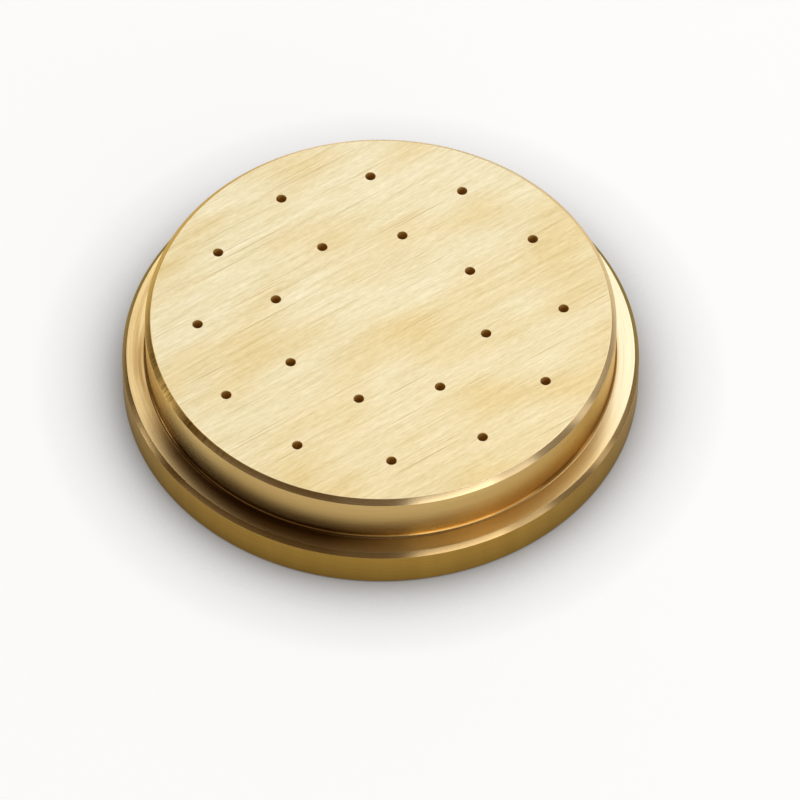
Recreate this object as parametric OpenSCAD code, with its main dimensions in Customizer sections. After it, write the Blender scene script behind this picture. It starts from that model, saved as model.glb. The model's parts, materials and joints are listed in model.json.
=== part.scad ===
// Pasta extrusion die: a turned brass disc with a seating flange, a raised boss and two rings of
// drilled nozzles. The dough face lies at z = 0, and the strands leave through the boss face on top.

/* [Flange] */
// Diameter of the flange, which sits in the seat of the extruder
flange_d = 78; // [72:0.5:110]
// Thickness of the flange
flange_h = 6.4; // [4:0.1:10]
// Chamfer round the upper edge of the flange
flange_chamfer = 0.65; // [0.2:0.05:1]
// Edge break round the dough face
base_chamfer = 0.3; // [0.1:0.05:1]

/* [Boss] */
// Width of the shoulder round the boss, which the clamping ring presses on
shoulder_w = 3.6; // [2.5:0.1:6]
// Height of the boss above the shoulder
boss_h = 8.1; // [5:0.1:14]
// Chamfer round the boss face
boss_chamfer = 0.75; // [0.2:0.05:1.5]
// Tool radius left in the corner between boss and shoulder
root_r = 0.5; // [0.2:0.05:1]

/* [Nozzle rings] */
// Number of nozzles in the outer ring
outer_count = 12; // [6:1:18]
// Distance from the boss wall in to the outer ring's circle
outer_inset = 7.9; // [5:0.1:12]
// Number of nozzles in the inner ring
inner_count = 8; // [3:1:12]
// Distance from the outer ring's circle in to the inner ring's
ring_step = 11.4; // [8:0.1:14]

/* [Nozzle] */
// Diameter of the bore that shapes a strand
nozzle_d = 1.6; // [0.8:0.1:3]
// Straight length of that bore behind the boss face
nozzle_land = 4; // [2:0.1:6]
// Diameter of the inlet bored from the dough side
inlet_d = 3.5; // [3.2:0.1:6]
// Point angle of the drill that bores the inlet
point_angle = 118; // [90:1:140]
// Countersink round the mouth of the inlet
inlet_chamfer = 0.4; // [0.1:0.05:1]

/* [Hidden] */
$fn = 96;

brass = [0.93, 0.85, 0.66];

flange_r = flange_d / 2;
boss_r = flange_r - shoulder_w;
die_h = flange_h + boss_h;
outer_r = boss_r - outer_inset;
inner_r = outer_r - ring_step;
nozzle_r = nozzle_d / 2;
inlet_r = inlet_d / 2;
point_h = (inlet_r - nozzle_r) / tan(point_angle / 2);
inlet_h = die_h - nozzle_land - point_h;
// How far a cutter runs past the face that it leaves
overcut = 1;

// Tool radius in the corner of the half section, between the boss wall and the shoulder
module root_section() {
    difference() {
        square(root_r);
        translate([root_r, root_r])
            circle(r = root_r);
    }
}

// Half section of the turned blank, from the axis outwards
module turned_section() {
    polygon([
        [0, 0],
        [flange_r - base_chamfer, 0],
        [flange_r, base_chamfer],
        [flange_r, flange_h - flange_chamfer],
        [flange_r - flange_chamfer, flange_h],
        [boss_r, flange_h],
        [boss_r, die_h - boss_chamfer],
        [boss_r - boss_chamfer, die_h],
        [0, die_h]
    ]);
    translate([boss_r, flange_h])
        root_section();
}

// What drilling one nozzle takes away: countersink, inlet, drill point and strand bore
module nozzle_cut() {
    rotate_extrude()
        polygon([
            [0, -overcut],
            [inlet_r + inlet_chamfer + overcut, -overcut],
            [inlet_r, inlet_chamfer],
            [inlet_r, inlet_h],
            [nozzle_r, inlet_h + point_h],
            [nozzle_r, die_h + overcut],
            [0, die_h + overcut]
        ]);
}

// A ring of evenly spaced nozzles, the first one on the +X axis
module nozzle_ring(count, ring_r) {
    for (i = [0 : count - 1])
        rotate([0, 0, i * 360 / count])
            translate([ring_r, 0, 0])
                nozzle_cut();
}

module die_body() {
    color(brass)
        difference() {
            rotate_extrude()
                turned_section();
            nozzle_ring(outer_count, outer_r);
            nozzle_ring(inner_count, inner_r);
        }
}

die_body();
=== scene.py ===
import json
import math

import bpy
from mathutils import Matrix, Vector


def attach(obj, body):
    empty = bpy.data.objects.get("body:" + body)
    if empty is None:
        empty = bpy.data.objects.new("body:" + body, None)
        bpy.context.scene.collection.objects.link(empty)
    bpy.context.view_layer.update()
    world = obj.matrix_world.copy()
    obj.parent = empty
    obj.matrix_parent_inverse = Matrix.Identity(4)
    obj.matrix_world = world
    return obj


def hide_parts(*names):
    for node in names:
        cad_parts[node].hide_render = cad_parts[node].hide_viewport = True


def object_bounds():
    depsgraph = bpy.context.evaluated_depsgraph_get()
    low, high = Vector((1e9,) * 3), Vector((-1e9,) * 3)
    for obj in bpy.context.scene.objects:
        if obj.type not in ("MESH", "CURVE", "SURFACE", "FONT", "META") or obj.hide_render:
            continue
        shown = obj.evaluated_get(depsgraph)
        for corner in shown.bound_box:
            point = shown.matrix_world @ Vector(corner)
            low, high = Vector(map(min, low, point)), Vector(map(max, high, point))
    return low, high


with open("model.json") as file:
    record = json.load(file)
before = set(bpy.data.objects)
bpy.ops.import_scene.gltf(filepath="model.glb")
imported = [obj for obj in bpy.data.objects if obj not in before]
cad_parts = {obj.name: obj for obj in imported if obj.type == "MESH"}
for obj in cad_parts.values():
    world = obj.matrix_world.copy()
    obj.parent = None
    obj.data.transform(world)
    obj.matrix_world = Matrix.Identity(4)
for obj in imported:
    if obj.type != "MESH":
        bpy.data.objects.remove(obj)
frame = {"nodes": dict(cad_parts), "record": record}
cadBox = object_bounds()
scene = bpy.context.scene
mm = 0.001
onePoint = 0.5e-6  # points of a section that are closer than this are one
print("frame loaded:", sorted(frame["nodes"]))

mounts = {mount["name"]: mount for mount in frame["record"]["mounts"]}


def pinEnds(name):
    # radius of a turned pin, and the heights where its straight wall starts and ends
    mount = mounts[name]
    half = mount["dims"]["length_mm"] * mm / 2
    middle = mount["pos_m"][2]
    return mount["dims"]["r_mm"] * mm, middle - half, middle + half


flangeRadius, flangeLow, flangeHigh = pinEnds("flange_rim")
bossRadius, bossLow, bossHigh = pinEnds("boss")
shoulderHeight = mounts["shoulder"]["pos_m"][2]
dieHeight = cadBox[1].z


# camera: where the photo was taken from, found by fitting the nozzles and the outline
shot = {
    "azimuth": -33.68,  # degrees round the die, 0 looks along +Y
    "elevation": 51.59,
    "roll": 0.39,
    "distance": 1139.2 * mm,
    "asideAim": 2.97 * mm,  # the picture's centre, right of and above the centre of the boss face
    "aboveAim": -12.53 * mm,
    "lens": 341.77,
    "sensor": 36.0,
    "nearest": 0.05,
    "farthest": 50.0,
}


def placeCamera(spec):
    upright = (Matrix.Rotation(math.radians(spec["azimuth"]), 4, "Z")
               @ Matrix.Rotation(math.radians(90 - spec["elevation"]), 4, "X"))
    aim = Vector((0, 0, dieHeight)) + upright.to_3x3() @ Vector((spec["asideAim"], spec["aboveAim"], 0))
    away = upright.to_3x3() @ Vector((0, 0, spec["distance"]))
    camera = bpy.data.cameras.new("camera")
    camera.lens = spec["lens"]
    camera.sensor_width = spec["sensor"]
    camera.clip_start = spec["nearest"]
    camera.clip_end = spec["farthest"]
    holder = bpy.data.objects.new("camera", camera)
    scene.collection.objects.link(holder)
    roll = Matrix.Rotation(math.radians(spec["roll"]), 4, "Z")
    holder.matrix_world = Matrix.Translation(aim + away) @ upright @ roll
    scene.camera = holder


placeCamera(shot)
print("camera placed")


# short hands for node trees
def addNode(tree, kind, inputs=None, **settings):
    made = tree.nodes.new(kind)
    for name, value in settings.items():
        setattr(made, name, value)
    for key, value in (inputs or {}).items():
        socket = made.inputs[key]
        if isinstance(value, bpy.types.NodeSocket):
            tree.links.new(value, socket)
        else:
            socket.default_value = value
    return made


def calc(tree, operation, *values):
    made = addNode(tree, "ShaderNodeMath", dict(enumerate(values)), operation=operation)
    return made.outputs[0]


def wholeCalc(tree, operation, *values):
    made = addNode(tree, "FunctionNodeIntegerMath", dict(enumerate(values)), operation=operation)
    return made.outputs[0]


def newTree(name, inputs):
    # inputs is a list of (name, socket type, default); gives the tree and its input sockets by name
    tree = bpy.data.node_groups.new(name, "GeometryNodeTree")
    for label, kind, value in inputs:
        socket = tree.interface.new_socket(name=label, in_out="INPUT", socket_type=kind)
        if value is not None:
            socket.default_value = value
    tree.interface.new_socket(name="Mesh", in_out="OUTPUT", socket_type="NodeSocketGeometry")
    given = tree.nodes.new("NodeGroupInput")
    return tree, {label: given.outputs[label] for label, _, _ in inputs}


def endTree(tree, mesh):
    out = tree.nodes.new("NodeGroupOutput")
    tree.links.new(mesh, out.inputs["Mesh"])


# a section drawn in the XZ plane is spun about Z; the grain map runs round the axis, then along the section
def makeLathe():
    tree, given = newTree("lathe", [
        ("Section", "NodeSocketGeometry", None),
        ("Around", "NodeSocketInt", 360),
    ])
    corners = addNode(tree, "GeometryNodeAttributeDomainSize", {
        "Geometry": given["Section"],
    }, component="MESH")
    rows = corners.outputs["Point Count"]
    grid = addNode(tree, "GeometryNodeMeshGrid", {
        "Vertices X": wholeCalc(tree, "ADD", given["Around"], 1),
        "Vertices Y": rows,
    })
    index = addNode(tree, "GeometryNodeInputIndex").outputs[0]
    row = wholeCalc(tree, "MODULO", index, rows)
    column = wholeCalc(tree, "DIVIDE_FLOOR", index, rows)
    position = addNode(tree, "GeometryNodeInputPosition").outputs[0]
    onSection = addNode(tree, "GeometryNodeSampleIndex", {
        "Geometry": given["Section"],
        "Value": position,
        "Index": row,
    }, data_type="FLOAT_VECTOR", domain="POINT")
    step = calc(tree, "DIVIDE", 2 * math.pi, given["Around"])
    spun = addNode(tree, "ShaderNodeVectorRotate", {
        "Vector": onSection.outputs[0],
        "Angle": calc(tree, "MULTIPLY", column, step),
    }, rotation_type="Z_AXIS")
    mapped = addNode(tree, "GeometryNodeStoreNamedAttribute", {
        "Geometry": grid.outputs["Mesh"],
        "Name": "grainMap",
        "Value": grid.outputs["UV Map"],
    }, data_type="FLOAT2", domain="CORNER")
    turned = addNode(tree, "GeometryNodeSetPosition", {
        "Geometry": mapped.outputs[0],
        "Position": spun.outputs[0],
    })
    closed = addNode(tree, "GeometryNodeMergeByDistance", {
        "Geometry": turned.outputs[0],
        "Distance": onePoint,
    })
    endTree(tree, closed.outputs[0])
    return tree


# a run of straight lines through the given (radius, height) pairs, with its corners rounded off
def drawSection(tree, points, rounding, steps):
    line = addNode(tree, "GeometryNodeMeshLine", {"Count": len(points)})
    place = addNode(tree, "GeometryNodeIndexSwitch", data_type="VECTOR")
    bend = addNode(tree, "GeometryNodeIndexSwitch", data_type="FLOAT")
    index = addNode(tree, "GeometryNodeInputIndex").outputs[0]
    for switch in (place, bend):
        for _ in range(len(points) - 2):
            switch.index_switch_items.new()
        tree.links.new(index, switch.inputs["Index"])
    for i, (radius, height) in enumerate(points):
        spot = addNode(tree, "ShaderNodeCombineXYZ", {"X": radius, "Z": height})
        tree.links.new(spot.outputs[0], place.inputs[str(i)])
        if i in rounding:
            tree.links.new(rounding[i], bend.inputs[str(i)])
    drawn = addNode(tree, "GeometryNodeSetPosition", {
        "Geometry": line.outputs[0],
        "Position": place.outputs[0],
    })
    curve = addNode(tree, "GeometryNodeMeshToCurve", {"Mesh": drawn.outputs[0]})
    rounded = addNode(tree, "GeometryNodeFilletCurve", {
        "Curve": curve.outputs[0],
        "Count": steps,
        "Radius": bend.outputs[0],
    }, mode="POLY")
    wire = addNode(tree, "GeometryNodeCurveToMesh", {"Curve": rounded.outputs[0]})
    single = addNode(tree, "GeometryNodeMergeByDistance", {
        "Geometry": wire.outputs[0],
        "Distance": onePoint,
    })
    return single.outputs[0]


# the die: a turned blank with its flange and boss, and two rings of nozzles drilled through it
die = {
    "outerCount": 12,
    "outerInset": 7.9 * mm,  # from the boss wall in to the outer ring
    "innerCount": 8,
    "ringStep": 11.4 * mm,  # from the outer ring in to the inner one
    "nozzleRadius": 0.8 * mm,
    "nozzleLand": 4.0 * mm,
    "inletRadius": 1.75 * mm,
    "pointAngle": 118.0,  # of the drill that bores the inlet
    "mouthChamfer": 0.4 * mm,
    "edgeBreak": 0.06 * mm,
    "around": 480,
    "nozzleSides": 48,
    "roundSteps": 5,
    "weldGap": 2e-6,  # between the faces, the wall and the bores
    "crispAngle": 30,  # edges sharper than this stay sharp
}
zones = ["front", "turned", "rim", "bore", "dough"]


def makeDieTree(lathe, materials):
    sizes = ["Flange Radius", "Flange Low", "Flange High", "Shoulder", "Boss Radius", "Boss Low",
             "Boss High", "Height", "Edge Break", "Outer Radius", "Inner Radius", "Nozzle Radius",
             "Nozzle Land", "Inlet Radius", "Point Depth", "Mouth Chamfer"]
    counts = ["Outer Count", "Inner Count", "Around", "Nozzle Sides", "Round Steps"]
    tree, given = newTree("die", [("Geometry", "NodeSocketGeometry", None)]
                          + [(name, "NodeSocketFloat", 0.0) for name in sizes]
                          + [(name, "NodeSocketInt", 8) for name in counts])

    def less(a, b):
        return calc(tree, "SUBTRACT", a, b)

    def zoned(mesh, zone, where=True):
        return addNode(tree, "GeometryNodeStoreNamedAttribute", {
            "Geometry": mesh, "Selection": where, "Name": "zone", "Value": zones.index(zone),
        }, data_type="INT", domain="FACE").outputs[0]

    def spin(section, around):
        made = addNode(tree, "GeometryNodeGroup", node_tree=lathe)
        tree.links.new(section, made.inputs["Section"])
        tree.links.new(around, made.inputs["Around"])
        return made.outputs["Mesh"]

    # turned blank, from the edge of the dough face up to the rim of the boss face
    height = given["Height"]
    chamfer = less(height, given["Boss High"])
    margin = calc(tree, "MULTIPLY", given["Edge Break"], 2.0)
    rimRadius = less(less(given["Boss Radius"], chamfer), margin)
    footRadius = less(less(given["Flange Radius"], given["Flange Low"]), margin)
    rootRadius = less(given["Boss Low"], given["Shoulder"])
    blank = [
        (footRadius, 0.0),
        (less(given["Flange Radius"], given["Flange Low"]), 0.0),
        (given["Flange Radius"], given["Flange Low"]),
        (given["Flange Radius"], given["Flange High"]),
        (less(given["Flange Radius"], less(given["Shoulder"], given["Flange High"])), given["Shoulder"]),
        (given["Boss Radius"], given["Shoulder"]),
        (given["Boss Radius"], given["Boss High"]),
        (less(given["Boss Radius"], chamfer), height),
        (rimRadius, height),
    ]
    bends = {i: given["Edge Break"] for i in (1, 2, 3, 4, 6, 7)}
    bends[5] = rootRadius
    turned = zoned(spin(drawSection(tree, blank, bends, given["Round Steps"]), given["Around"]), "turned")
    position = addNode(tree, "GeometryNodeInputPosition").outputs[0]
    level = addNode(tree, "ShaderNodeSeparateXYZ", {0: position}).outputs["Z"]
    turned = zoned(turned, "rim", calc(tree, "LESS_THAN", level, given["Flange High"]))

    # one nozzle, from the boss face down to its mouth in the dough face
    landEnd = less(height, given["Nozzle Land"])
    inletEnd = less(landEnd, given["Point Depth"])
    mouthRadius = calc(tree, "ADD", given["Inlet Radius"], given["Mouth Chamfer"])
    nozzle = [
        (given["Nozzle Radius"], height),
        (given["Nozzle Radius"], landEnd),
        (given["Inlet Radius"], inletEnd),
        (given["Inlet Radius"], given["Mouth Chamfer"]),
        (mouthRadius, 0.0),
    ]
    bore = spin(drawSection(tree, nozzle, {}, 1), given["Nozzle Sides"])

    # where the nozzles stand, the first of each ring on +X
    spots = addNode(tree, "GeometryNodeJoinGeometry")
    for ring in ("Inner", "Outer"):
        circle = addNode(tree, "GeometryNodeMeshCircle", {
            "Vertices": given[ring + " Count"],
            "Radius": given[ring + " Radius"],
        }, fill_type="NONE")
        tree.links.new(circle.outputs[0], spots.inputs[0])

    def repeated(shape):
        placed = addNode(tree, "GeometryNodeInstanceOnPoints", {
            "Points": spots.outputs[0], "Instance": shape,
        })
        return addNode(tree, "GeometryNodeRealizeInstances", {"Geometry": placed.outputs[0]}).outputs[0]

    def pierced(edgeRadius, holeRadius, level):
        # a flat face with the nozzles' holes in it
        edge = addNode(tree, "GeometryNodeCurvePrimitiveCircle", {
            "Resolution": given["Around"], "Radius": edgeRadius,
        }, mode="RADIUS")
        hole = addNode(tree, "GeometryNodeCurvePrimitiveCircle", {
            "Resolution": given["Nozzle Sides"], "Radius": holeRadius,
        }, mode="RADIUS")
        rims = addNode(tree, "GeometryNodeJoinGeometry")
        tree.links.new(repeated(hole.outputs[0]), rims.inputs[0])
        tree.links.new(edge.outputs[0], rims.inputs[0])
        face = addNode(tree, "GeometryNodeFillCurve", {"Curve": rims.outputs[0]}, mode="TRIANGLES")
        lift = addNode(tree, "ShaderNodeCombineXYZ", {"Z": level})
        raised = addNode(tree, "GeometryNodeTransform", {
            "Geometry": face.outputs[0], "Translation": lift.outputs[0],
        })
        position = addNode(tree, "GeometryNodeInputPosition").outputs[0]
        spread = addNode(tree, "ShaderNodeVectorMath", {
            0: position, "Scale": 1 / (2 * flangeRadius),
        }, operation="SCALE")
        return addNode(tree, "GeometryNodeStoreNamedAttribute", {
            "Geometry": raised.outputs[0], "Name": "grainMap", "Value": spread.outputs[0],
        }, data_type="FLOAT2", domain="CORNER").outputs[0]

    front = zoned(pierced(rimRadius, given["Nozzle Radius"], height), "front")
    dough = pierced(footRadius, mouthRadius, 0.0)
    dough = zoned(addNode(tree, "GeometryNodeFlipFaces", {"Mesh": dough}).outputs[0], "dough")

    whole = addNode(tree, "GeometryNodeJoinGeometry")
    for piece in (turned, zoned(repeated(bore), "bore"), front, dough):
        tree.links.new(piece, whole.inputs[0])
    welded = addNode(tree, "GeometryNodeMergeByDistance", {
        "Geometry": whole.outputs[0], "Distance": die["weldGap"],
    })
    smooth = addNode(tree, "GeometryNodeSetShadeSmooth", {"Geometry": welded.outputs[0]}, domain="FACE")
    bent = addNode(tree, "GeometryNodeInputMeshEdgeAngle").outputs["Unsigned Angle"]
    crisp = addNode(tree, "GeometryNodeSetShadeSmooth", {
        "Geometry": smooth.outputs[0],
        "Selection": calc(tree, "GREATER_THAN", bent, math.radians(die["crispAngle"])),
        "Shade Smooth": False,
    }, domain="EDGE")
    solid = addNode(tree, "GeometryNodeRealizeInstances", {"Geometry": crisp.outputs[0]}).outputs[0]
    zone = addNode(tree, "GeometryNodeInputNamedAttribute", {"Name": "zone"}, data_type="INT").outputs[0]
    for number, name in enumerate(zones):
        mine = addNode(tree, "FunctionNodeCompare", data_type="INT", operation="EQUAL")
        tree.links.new(zone, mine.inputs[2])
        mine.inputs[3].default_value = number
        solid = addNode(tree, "GeometryNodeSetMaterial", {
            "Geometry": solid, "Selection": mine.outputs[0], "Material": materials[name],
        }).outputs[0]
    endTree(tree, solid)
    return tree


def makeDie(materials):
    lathe = makeLathe()
    tree = makeDieTree(lathe, materials)
    outerRadius = bossRadius - die["outerInset"]
    halfPoint = math.radians(die["pointAngle"] / 2)
    values = {
        "Flange Radius": flangeRadius,
        "Flange Low": flangeLow,
        "Flange High": flangeHigh,
        "Shoulder": shoulderHeight,
        "Boss Radius": bossRadius,
        "Boss Low": bossLow,
        "Boss High": bossHigh,
        "Height": dieHeight,
        "Edge Break": die["edgeBreak"],
        "Outer Radius": outerRadius,
        "Inner Radius": outerRadius - die["ringStep"],
        "Nozzle Radius": die["nozzleRadius"],
        "Nozzle Land": die["nozzleLand"],
        "Inlet Radius": die["inletRadius"],
        "Point Depth": (die["inletRadius"] - die["nozzleRadius"]) / math.tan(halfPoint),
        "Mouth Chamfer": die["mouthChamfer"],
        "Outer Count": die["outerCount"],
        "Inner Count": die["innerCount"],
        "Around": die["around"],
        "Nozzle Sides": die["nozzleSides"],
        "Round Steps": die["roundSteps"],
    }
    draft = bpy.data.objects.new("dieDraft", bpy.data.meshes.new("dieDraft"))
    scene.collection.objects.link(draft)
    maker = draft.modifiers.new("die", "NODES")
    maker.node_group = tree
    for socket in tree.interface.items_tree:
        if socket.in_out == "INPUT" and socket.name in values:
            maker[socket.identifier] = values[socket.name]
    evened = draft.modifiers.new("wall normals", "WEIGHTED_NORMAL")
    evened.mode = "FACE_AREA"
    evened.keep_sharp = True
    graph = bpy.context.evaluated_depsgraph_get()
    made = draft.evaluated_get(graph)
    mesh = bpy.data.meshes.new_from_object(made, preserve_all_data_layers=True, depsgraph=graph)
    mesh.name = "pastaDie"
    if mesh.materials[0] is None:
        mesh.materials.pop(index=0)  # the empty slot that joining leaves
    bpy.data.objects.remove(draft)
    piece = bpy.data.objects.new("pastaDie", mesh)
    scene.collection.objects.link(piece)
    return piece


# brass finishes
def newBrass(name, spec):
    # stretch smears the highlights across the tool marks, which run along the map's first direction;
    # grazing tints what shows where the surface turns away from the eye
    material = bpy.data.materials.new(name)
    material.use_nodes = True
    tree = material.node_tree
    shader = tree.nodes["Principled BSDF"]
    shader.inputs["Metallic"].default_value = 1.0
    shader.inputs["Roughness"].default_value = spec["roughness"]
    shader.inputs["Anisotropic"].default_value = spec.get("stretch", 0.0)
    shader.inputs["Anisotropic Rotation"].default_value = 0.25  # a quarter turn
    shader.inputs["Specular Tint"].default_value = (*spec.get("grazing", (1, 1, 1)), 1)
    along = addNode(tree, "ShaderNodeTangent", direction_type="UV_MAP", uv_map="grainMap")
    tree.links.new(along.outputs[0], shader.inputs["Tangent"])
    place = addNode(tree, "ShaderNodeTexCoord").outputs["Object"]
    return material, tree, shader, place


def blendColor(tree, share, first, second):
    mix = addNode(tree, "ShaderNodeMix", {0: share}, data_type="RGBA")
    for socket, color in ((mix.inputs[6], first), (mix.inputs[7], second)):
        if isinstance(color, bpy.types.NodeSocket):
            tree.links.new(color, socket)
        else:
            socket.default_value = (*color, 1)
    return mix.outputs[2]


def remap(tree, value, low, high, start=0.0, end=1.0):
    made = addNode(tree, "ShaderNodeMapRange", {
        "Value": value, "From Min": low, "From Max": high, "To Min": start, "To Max": end,
    })
    return made.outputs[0]


def noise(tree, place, scale, detail=2.0):
    # scale is how many marks there are in a metre, along each axis
    spread = addNode(tree, "ShaderNodeVectorMath", {0: place, 1: scale}, operation="MULTIPLY")
    made = addNode(tree, "ShaderNodeTexNoise", {
        "Vector": spread.outputs[0], "Scale": 1.0, "Detail": detail, "Roughness": 0.5,
    })
    return made.outputs[0]


def towards(tree, place, azimuth):
    # how far a place lies out from the axis to one side; azimuth 0 is -Y of the die, and 90 is +X
    angle = math.radians(azimuth)
    return addNode(tree, "ShaderNodeVectorMath", {
        0: place, 1: (math.sin(angle), -math.cos(angle), 0),
    }, operation="DOT_PRODUCT").outputs["Value"]


# boss face: ground with a belt, in straight lines a little off +X
brushed = {
    "roughness": 0.33,
    "stretch": 0.55,
    "turn": 1.4,  # degrees
    "fine": (1.3 * mm, 0.3 * mm),  # length and width of the lines
    "middle": (6 * mm, 0.55 * mm),
    "long": (28 * mm, 1.5 * mm),
    "scratch": (22 * mm, 0.3 * mm),
    "cloud": (22 * mm, 11 * mm),
    "weights": {"fine": 0.45, "middle": 0.5, "long": 0.4},
    "contrast": (0.41, 0.93),  # what comes out dark and what light
    "light": (0.995, 0.915, 0.68),
    "dark": (0.765, 0.645, 0.35),
    "goldLight": (0.92, 0.77, 0.45),  # the same marks where the face is more golden
    "goldDark": (0.715, 0.54, 0.23),
    "goldSide": -14,  # azimuth of the side that is more golden
    "sideDepth": 0.6,
    "cloudSpan": (0.42, 0.68),  # and clouds that are
    "cloudDepth": 0.9,
    "scratchColor": (0.56, 0.42, 0.18),
    "scratchSpan": (0.65, 0.75),
    "scratchDepth": 0.68,
}


def brushedBrass(spec):
    material, tree, shader, place = newBrass("brushedBrass", spec)
    along = addNode(tree, "ShaderNodeVectorRotate", {
        "Vector": place, "Angle": math.radians(-spec["turn"]),
    }, rotation_type="Z_AXIS").outputs[0]

    def marks(kind, detail=1.0):
        length, width = spec[kind]
        return noise(tree, along, (1 / length, 1 / width, 1.0), detail)

    mixed = 0.0
    for kind, weight in spec["weights"].items():
        mixed = calc(tree, "MULTIPLY_ADD", marks(kind, 2.0), weight, mixed)
    side = remap(tree, towards(tree, place, spec["goldSide"]), 0.0, bossRadius, 0.0, spec["sideDepth"])
    cloud = remap(tree, marks("cloud"), *spec["cloudSpan"], 0.0, spec["cloudDepth"])
    golden = calc(tree, "ADD", side, cloud)
    light = blendColor(tree, golden, spec["light"], spec["goldLight"])
    dark = blendColor(tree, golden, spec["dark"], spec["goldDark"])
    color = blendColor(tree, remap(tree, mixed, *spec["contrast"]), dark, light)
    scratches = remap(tree, marks("scratch"), *spec["scratchSpan"], 0.0, spec["scratchDepth"])
    color = blendColor(tree, scratches, color, spec["scratchColor"])
    tree.links.new(color, shader.inputs["Base Color"])
    return material


def aroundAxis(tree, place):
    # distance from the axis, height, and direction round the axis
    flat = addNode(tree, "ShaderNodeVectorMath", {
        0: place, 1: (1, 1, 0),
    }, operation="MULTIPLY").outputs[0]
    radius = addNode(tree, "ShaderNodeVectorMath", {0: flat}, operation="LENGTH").outputs["Value"]
    heading = addNode(tree, "ShaderNodeVectorMath", {0: flat}, operation="NORMALIZE").outputs[0]
    height = addNode(tree, "ShaderNodeSeparateXYZ", {0: place}).outputs["Z"]
    return radius, height, heading


def ringMarks(tree, radius, height, heading, pitch, patches):
    # fine rings left by the tool, which fade in and out a few times in a turn
    level = addNode(tree, "ShaderNodeCombineXYZ", {"Z": calc(tree, "ADD", radius, height)}).outputs[0]
    spot = addNode(tree, "ShaderNodeVectorMath", {0: heading, 1: level}, operation="ADD").outputs[0]
    return noise(tree, spot, (patches, patches, 1 / pitch), 2.0)


def facing(tree, heading, azimuth, width):
    # 1 on the side of the die at that azimuth, fading to 0 where the width ends
    fullWidth = 0.6 * width
    side = towards(tree, heading, azimuth)
    return remap(tree, side, math.cos(math.radians(width)), math.cos(math.radians(fullWidth)))


# boss wall, shoulder and chamfers; each place of wear or of painted light and shade is (azimuth, width) in
# degrees round the die
turnedFinish = {
    "roughness": 0.24,
    "stretch": 0.75,
    "grazing": (0.8, 0.7, 0.5),
    # the boss wall is darker than the shoulder: partly tarnished brass, partly painted shade for the dark
    # reflections it shows
    "wall": (0.70, 0.485, 0.185),
    "shoulder": (0.91, 0.69, 0.34),
    "polish": (0.94, 0.84, 0.58),  # painted reflection: the side of the shoulder where a lamp shows, painted lighter
    "polished": (66, 42),
    # dark streaks on one side of the shoulder, strongest by the boss wall: partly tool marks, partly
    # painted shade
    "streak": (0.52, 0.32, 0.11),
    "streaked": (-142, 42),
    "streakPitch": 0.9 * mm,
    "streakPatches": 2.5,
    "streakSpan": (0.4, 0.62),
    "streakDepth": 0.9,
    "streakFade": (1.0 * mm, 2.8 * mm),  # out from the boss wall
    "streakLeft": 0.3,  # what is left of them further out
    "flangeEdge": (0.58, 0.405, 0.185),
    "dull": (0.24, 0.18, 0.055),  # painted shade: the flange's edge round the back, painted dark
    "dulled": (146, 118),
    "bossEdge": (0.83, 0.65, 0.37),
    # painted shade: the boss's edge on one side, painted a darker gold
    "gild": (0.66, 0.44, 0.14),
    "gilded": (-129, 65),
    "ringPitch": 0.2 * mm,
    "ringPatches": 3.0,
    "ringColor": (0.42, 0.24, 0.07),
    "ringSpan": (0.35, 0.75),
    "ringDepth": 0.14,
    "corner": (0.55, 0.31, 0.08),  # darker at the foot of the boss, all round
    "cornerReach": (0.7 * mm, 0.3 * mm),  # out from the boss wall
    "cornerRise": (0.3 * mm, -0.2 * mm),  # from where the wall is straight
    "cornerDepth": 0.6,
    "stain": (0.16, 0.075, 0.02),  # painted shade: darker still in that corner on one side
    "stained": (-68, 37),
    "stainReach": (3.6 * mm, 0.8 * mm),  # out on the shoulder
    "stainRise": 0.7 * mm,  # up the wall
    "stainDepth": 0.9,
    "warm": (0.45, 0.22, 0.085),  # painted reflection: orange bounce light at the foot of the boss wall on the other side
    "warmed": (22, 46),
    "warmRise": (4.2 * mm, 1.26 * mm),
    "warmDepth": 0.55,
    "pale": (0.98, 0.74, 0.33),  # and painted light: the wall painted lighter on one side
    "paled": (-112, 40),
    "speckPitch": 0.5 * mm,
    "speckPatches": 70.0,
    "speckColor": (0.34, 0.2, 0.05),
    "speckSpan": (0.48, 0.62),
    "speckDepth": 0.7,
    "specked": (-96, 26),
    "soft": 0.04 * mm,  # how far one finish runs into the next
}


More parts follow.
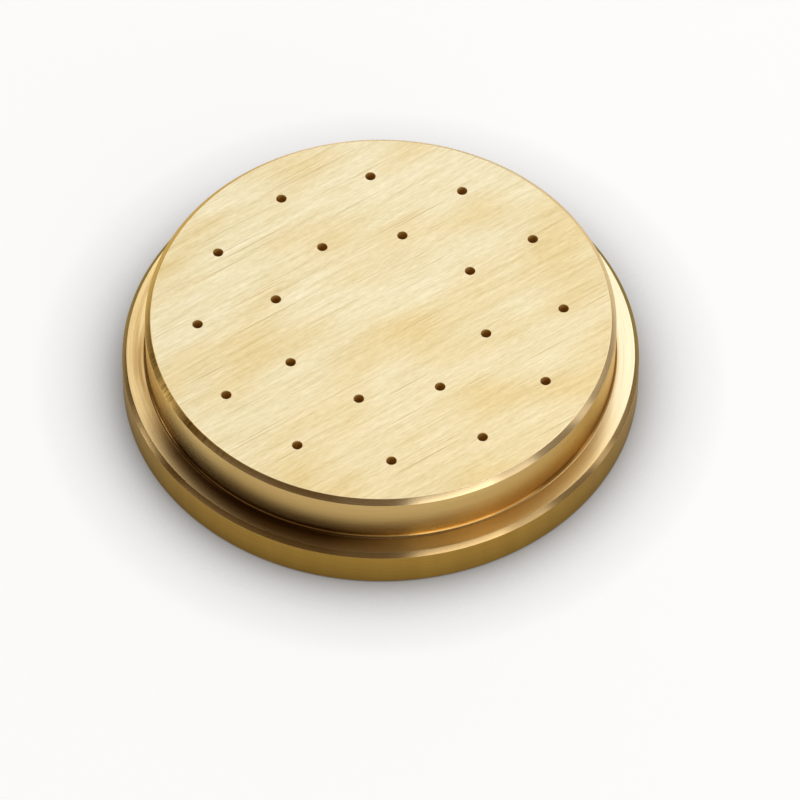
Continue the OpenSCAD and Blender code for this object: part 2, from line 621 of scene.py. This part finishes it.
def turnedBrass(spec):
    material, tree, shader, place = newBrass("turnedBrass", spec)
    radius, height, heading = aroundAxis(tree, place)
    soft = spec["soft"]

    def worn(place):
        return facing(tree, heading, *spec[place])

    def tooled(kind):
        return ringMarks(tree, radius, height, heading, spec[kind + "Pitch"], spec[kind + "Patches"])

    def both(first, second):
        return calc(tree, "MULTIPLY", first, second)

    # where the edges and the shoulder lie
    bossEdge = remap(tree, height, bossHigh - soft, bossHigh + soft)
    edgeInner = flangeRadius - (shoulderHeight - flangeHigh)
    flangeEdge = remap(tree, radius, edgeInner - soft, edgeInner + soft)
    shoulder = remap(tree, height, shoulderHeight + 3 * soft, shoulderHeight + soft)

    # painted reflection: the shoulder painted lighter on one side
    step = blendColor(tree, worn("polished"), spec["shoulder"], spec["polish"])
    # dark streaks on one side of the shoulder, fading out from the boss wall: partly tool marks, partly
    # painted shade
    streaks = remap(tree, tooled("streak"), *spec["streakSpan"], 0.0, spec["streakDepth"])
    fadeStart, fadeEnd = spec["streakFade"]
    inner = remap(tree, radius, bossRadius + fadeStart, bossRadius + fadeEnd, 1.0, spec["streakLeft"])
    step = blendColor(tree, both(both(streaks, worn("streaked")), inner), step, spec["streak"])

    # painted light: the boss wall lighter on one side
    wall = blendColor(tree, worn("paled"), spec["wall"], spec["pale"])
    # painted reflection: orange bounce light at the foot of the wall on one side
    paintedBounceTop, paintedBounceFull = spec["warmRise"]
    foot = remap(tree, height, bossLow + paintedBounceTop, bossLow + paintedBounceFull, 0.0, spec["warmDepth"])
    wall = blendColor(tree, both(foot, worn("warmed")), wall, spec["warm"])

    color = blendColor(tree, shoulder, wall, step)
    # painted shade on the flange's edge round the back
    lowEdge = blendColor(tree, worn("dulled"), spec["flangeEdge"], spec["dull"])
    color = blendColor(tree, flangeEdge, color, lowEdge)
    # painted shade on the boss's edge on one side
    highEdge = blendColor(tree, worn("gilded"), spec["bossEdge"], spec["gild"])
    color = blendColor(tree, bossEdge, color, highEdge)

    rings = remap(tree, tooled("ring"), *spec["ringSpan"], 0.0, spec["ringDepth"])
    color = blendColor(tree, rings, color, spec["ringColor"])
    specks = remap(tree, tooled("speck"), *spec["speckSpan"], 0.0, spec["speckDepth"])
    specks = both(specks, both(bossEdge, worn("specked")))
    color = blendColor(tree, specks, color, spec["speckColor"])

    reachOut, reachIn = spec["cornerReach"]
    riseHigh, riseLow = spec["cornerRise"]
    corner = both(remap(tree, radius, bossRadius + reachOut, bossRadius + reachIn),
                  remap(tree, height, bossLow + riseHigh, bossLow + riseLow))
    color = blendColor(tree, both(corner, spec["cornerDepth"]), color, spec["corner"])
    # painted shade in the corner on one side, out on the shoulder and a little up the wall
    cornerShadeOut, cornerShadeIn = spec["stainReach"]
    smear = both(remap(tree, radius, bossRadius + cornerShadeOut, bossRadius + cornerShadeIn, 0.0, spec["stainDepth"]),
                 remap(tree, height, bossLow + spec["stainRise"], bossLow))
    color = blendColor(tree, both(smear, worn("stained")), color, spec["stain"])
    tree.links.new(color, shader.inputs["Base Color"])
    return material


# flange wall, turned coarser than the boss
rimFinish = {
    "roughness": 0.32,
    "stretch": 0.82,
    "grazing": (0.8, 0.8, 0.72),
    # the flange wall's colour is darker still: partly tarnished brass, partly painted shade for the
    # shadowed table it mirrors
    "color": (0.47, 0.277, 0.053),
    "shade": (0.35, 0.195, 0.032),
    "pitch": 0.25 * mm,
    "patches": 4.0,
    "chatter": 90.0,  # upright marks in a turn
    "weights": (0.5, 0.5),  # of the rings and of the upright marks
    "contrast": (0.35, 0.65),
    "depth": 0.5,
}


def rimBrass(spec):
    material, tree, shader, place = newBrass("rimBrass", spec)
    radius, height, heading = aroundAxis(tree, place)
    rings = ringMarks(tree, radius, height, heading, spec["pitch"], spec["patches"])
    upright = noise(tree, heading, [spec["chatter"] / math.tau] * 3)
    ringWeight, uprightWeight = spec["weights"]
    mixed = calc(tree, "MULTIPLY_ADD", rings, ringWeight, calc(tree, "MULTIPLY", upright, uprightWeight))
    shaded = remap(tree, mixed, *spec["contrast"], 0.0, spec["depth"])
    color = blendColor(tree, shaded, spec["color"], spec["shade"])
    tree.links.new(color, shader.inputs["Base Color"])
    return material


# dough face: faced on the lathe, so its marks run in circles
facedFinish = {
    "roughness": 0.35,
    "light": (0.84, 0.68, 0.38),
    "dark": (0.66, 0.49, 0.22),
    "pitch": 0.35 * mm,
    "patches": 2.0,
    "contrast": (0.3, 0.7),
}


def facedBrass(spec):
    material, tree, shader, place = newBrass("facedBrass", spec)
    rings = ringMarks(tree, *aroundAxis(tree, place), spec["pitch"], spec["patches"])
    color = blendColor(tree, remap(tree, rings, *spec["contrast"]), spec["dark"], spec["light"])
    tree.links.new(color, shader.inputs["Base Color"])
    return material


# bores: left rough by the drill, and dull
drilled = {
    "metal": 0.4,
    "roughness": 0.6,
    "color": (0.82, 0.55, 0.17),
}


def drilledBrass(spec):
    material, _, shader, _ = newBrass("drilledBrass", spec)
    shader.inputs["Metallic"].default_value = spec["metal"]
    shader.inputs["Base Color"].default_value = (*spec["color"], 1)
    return material


finishes = {
    "front": brushedBrass(brushed),
    "turned": turnedBrass(turnedFinish),
    "rim": rimBrass(rimFinish),
    "bore": drilledBrass(drilled),
    "dough": facedBrass(facedFinish),
}
dieBody = makeDie(finishes)
print("die made:", len(dieBody.data.polygons), "faces")

# studio: a pale table, soft light from behind and above, and less of it from the front
studio = {
    "tableSize": 12.0,
    "tableColor": (0.35, 0.352, 0.36),
    "tableGlow": 0.8,  # what the camera and the metal see of the white table besides its light and shade
    "glowReach": 14 * mm,  # how far from the die its shade takes the glow away
    "glowFade": 2.0,  # and how steeply
    "tableRoughness": 0.9,
    "lampDistance": 1.4,
    "roomLow": (0.11, 0.064, 0.014),  # what the metal mirrors of the room between the lamps
    "roomHigh": (0.03, 0.016, 0.006),
    "roomTurn": (0.62, 0.78),  # from the one to the other, as the sine of the elevation
}


def addTable(spec):
    half = spec["tableSize"] / 2
    mesh = bpy.data.meshes.new("table")
    corners = [(-half, -half, 0), (half, -half, 0), (half, half, 0), (-half, half, 0)]
    mesh.from_pydata(corners, [], [(0, 1, 2, 3)])
    table = bpy.data.objects.new("table", mesh)
    scene.collection.objects.link(table)
    material = bpy.data.materials.new("paleTable")
    material.use_nodes = True
    tree = material.node_tree
    shader = tree.nodes["Principled BSDF"]
    shader.inputs["Base Color"].default_value = (*spec["tableColor"], 1)
    shader.inputs["Roughness"].default_value = spec["tableRoughness"]
    shader.inputs["Specular IOR Level"].default_value = 0.0
    shader.inputs["Emission Color"].default_value = (1, 1, 1, 1)
    rays = addNode(tree, "ShaderNodeLightPath").outputs
    seen = calc(tree, "MAXIMUM", rays["Is Camera Ray"],
                calc(tree, "MAXIMUM", rays["Is Glossy Ray"], rays["Is Transmission Ray"]))
    shade = addNode(tree, "ShaderNodeAmbientOcclusion", {"Distance": spec["glowReach"]}, samples=8)
    shade = calc(tree, "POWER", shade.outputs["AO"], spec["glowFade"])
    glow = calc(tree, "MULTIPLY", calc(tree, "MULTIPLY", seen, spec["tableGlow"]), shade)
    tree.links.new(glow, shader.inputs["Emission Strength"])
    mesh.materials.append(material)


# place is (azimuth, elevation) seen from the die, azimuth 0 towards the camera and 90 to its right;
# span is the lamp's (width, height) in degrees, and level what a mirror would show of it;
# rightBack, frontLow and leftLow are there for the boss face as it shows from the other sides
lamps = {
    "backSoftbox": {"place": (152, 50), "span": (31, 36), "level": 1.26},
    "backFill": {"place": (-160, 50), "span": (31, 36), "level": 0.9},
    "backStrip": {"place": (176, 16), "span": (56, 22), "level": 1.2},
    "keyStrip": {"place": (30, 20), "span": (32, 26), "level": 2.3},
    "keyEdge": {"place": (56, 20), "span": (20, 26), "level": 1.2},
    "keyTop": {"place": (34, 37), "span": (30, 12), "level": 0.6},
    "rightStrip": {"place": (94, 18), "span": (10, 26), "level": 0.8},
    "rightFill": {"place": (80, 28), "span": (30, 24), "level": 0.2},
    "rightSoftbox": {"place": (80, 55), "span": (46, 28), "level": 0.55},
    "rightBack": {"place": (124, 24), "span": (42, 26), "level": 0.55},
    "frontFill": {"place": (0, 48), "span": (28, 34), "level": 0.08},
    "frontLow": {"place": (-8, 12), "span": (48, 13), "level": 0.65},
    "leftLow": {"place": (-56, 12), "span": (44, 13), "level": 0.6},
    "leftStrip": {"place": (-100, 14), "span": (20, 16), "level": 0.4},
    "leftGlint": {"place": (-98, 6), "span": (9, 8), "level": 2.2},
    "overhead": {"place": (180, 84), "span": (22, 22), "level": 0.58},
}


def addLamp(name, spec):
    azimuth = math.radians(spec["place"][0] + shot["azimuth"])
    elevation = math.radians(spec["place"][1])
    flat = math.cos(elevation)
    toLamp = Vector((math.sin(azimuth) * flat, -math.cos(azimuth) * flat, math.sin(elevation)))
    far = studio["lampDistance"]
    lamp = bpy.data.lights.new(name, "AREA")
    lamp.shape = "RECTANGLE"
    lamp.size = 2 * far * math.tan(math.radians(spec["span"][0] / 2))
    lamp.size_y = 2 * far * math.tan(math.radians(spec["span"][1] / 2))
    lamp.energy = spec["level"] * math.pi * lamp.size * lamp.size_y
    holder = bpy.data.objects.new(name, lamp)
    holder.location = toLamp * far
    holder.rotation_euler = (-toLamp).to_track_quat("-Z", "Y").to_euler()
    holder.visible_camera = False
    scene.collection.objects.link(holder)


def addRoom(spec):
    world = bpy.data.worlds.new("studio")
    world.use_nodes = True
    tree = world.node_tree
    look = addNode(tree, "ShaderNodeTexCoord").outputs["Generated"]
    level = addNode(tree, "ShaderNodeSeparateXYZ", {0: look}).outputs["Z"]
    room = blendColor(tree, remap(tree, level, *spec["roomTurn"]), spec["roomLow"], spec["roomHigh"])
    tree.links.new(room, tree.nodes["Background"].inputs["Color"])
    scene.world = world


addTable(studio)
for name, spec in lamps.items():
    addLamp(name, spec)
addRoom(studio)
scene.view_settings.view_transform = "Standard"
print("studio lit")

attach(dieBody, "root")
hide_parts("die_body")
